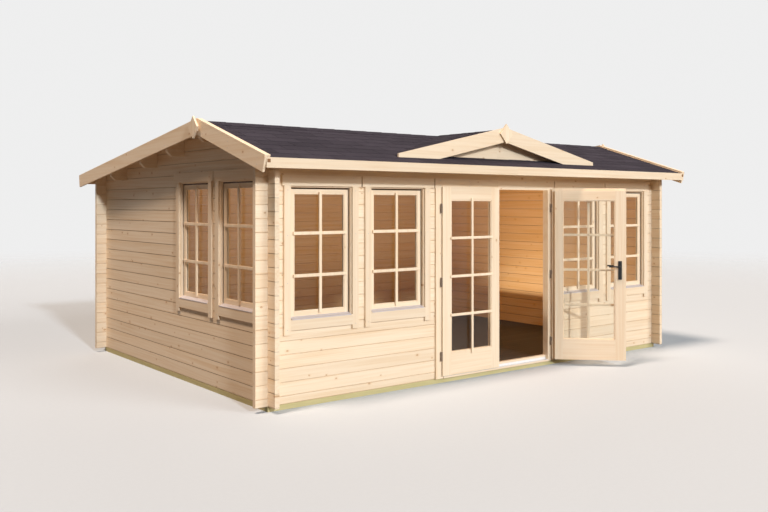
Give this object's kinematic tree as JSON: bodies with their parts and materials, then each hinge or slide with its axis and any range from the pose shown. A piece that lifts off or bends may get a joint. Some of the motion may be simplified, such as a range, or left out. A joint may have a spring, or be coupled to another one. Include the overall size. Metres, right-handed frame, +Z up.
{
  "type": "log cabin",
  "caption": "Spruce log cabin with an uneven pitched roof, decorative front gable, double glazed door and six barred windows.",
  "frame": {"origin": "on the ground at the middle of the footprint", "axes": "+X along the front to the right as seen from outside, -Y out of the front door side, +Z up"},
  "size_m": [5.7886, 4.6949, 2.517],
  "materials": {
    "log_spruce": "bare planed logs",
    "planed_spruce": "bare planed boards",
    "rough_spruce": "bare boards under the roof",
    "floor_spruce": "bare floor boards",
    "treated_timber": "green pressure treated",
    "roof_shingle": "bitumen felt with mineral grains",
    "clear_glass": "clear panes",
    "grey_aluminium": "satin",
    "hinge_steel": "dark coated steel",
    "black_fittings": "satin black"
  },
  "bodies": {
    "cabin": {"back_wall": "log_spruce", "bearers": "treated_timber", "door_frame": "planed_spruce", "door_sill": "planed_spruce", "door_sill_strip": "grey_aluminium", "dormer_bargeboards": "planed_spruce", "dormer_boards": "rough_spruce", "dormer_finial": "planed_spruce", "dormer_panel": "rough_spruce", "dormer_shingles": "roof_shingle", "eave_fascias": "planed_spruce", "floor_boards": "floor_spruce", "frame_hinges": "hinge_steel", "front_wall_left": "log_spruce", "front_wall_right": "log_spruce", "front_wall_top": "log_spruce", "gable_finials": "planed_spruce", "header_boards": "planed_spruce", "left_bargeboards": "planed_spruce", "left_gable": "log_spruce", "left_wall": "log_spruce", "purlins": "rough_spruce", "ridge_cap": "roof_shingle", "right_bargeboards": "planed_spruce", "right_gable": "log_spruce", "right_wall": "log_spruce", "roof_boards_back": "rough_spruce", "roof_boards_front": "rough_spruce", "shingles_back": "roof_shingle", "shingles_front": "roof_shingle", "verge_battens": "rough_spruce", "verge_cover_strips": "planed_spruce", "window_drip_strips": "grey_aluminium", "window_frames": "planed_spruce", "window_glass": "clear_glass", "window_sashes": "planed_spruce", "window_trims": "planed_spruce"},
    "left_door": {"left_door_leaf": "planed_spruce", "left_door_glass": "clear_glass", "left_leaf_hinges": "hinge_steel"},
    "right_door": {"right_door_leaf": "planed_spruce", "right_door_glass": "clear_glass", "right_leaf_hinges": "hinge_steel", "door_lock_plates": "black_fittings"},
    "door_lever": {"door_lever": "black_fittings"}
  },
  "joints": [
    {"name": "left_door_hinge", "type": "hinge", "parent": "cabin", "child": "left_door", "pos_m": [-0.779, -1.9125, 0], "axis": [0, 0, 1], "range_deg": [-165, 0]},
    {"name": "right_door_hinge", "type": "hinge", "parent": "cabin", "child": "right_door", "pos_m": [0.779, -1.9125, 0], "axis": [0, 0, 1], "range_deg": [-135, 30]},
    {"name": "door_lever_turn", "type": "hinge", "parent": "right_door", "child": "door_lever", "pos_m": [1.28317, -2.41667, 1.058], "axis": [-0.7071, -0.7071, 0], "range_deg": [0, 40], "stiffness_Nm_per_rad": 0.8, "springref_deg": -14.32}
  ]
}
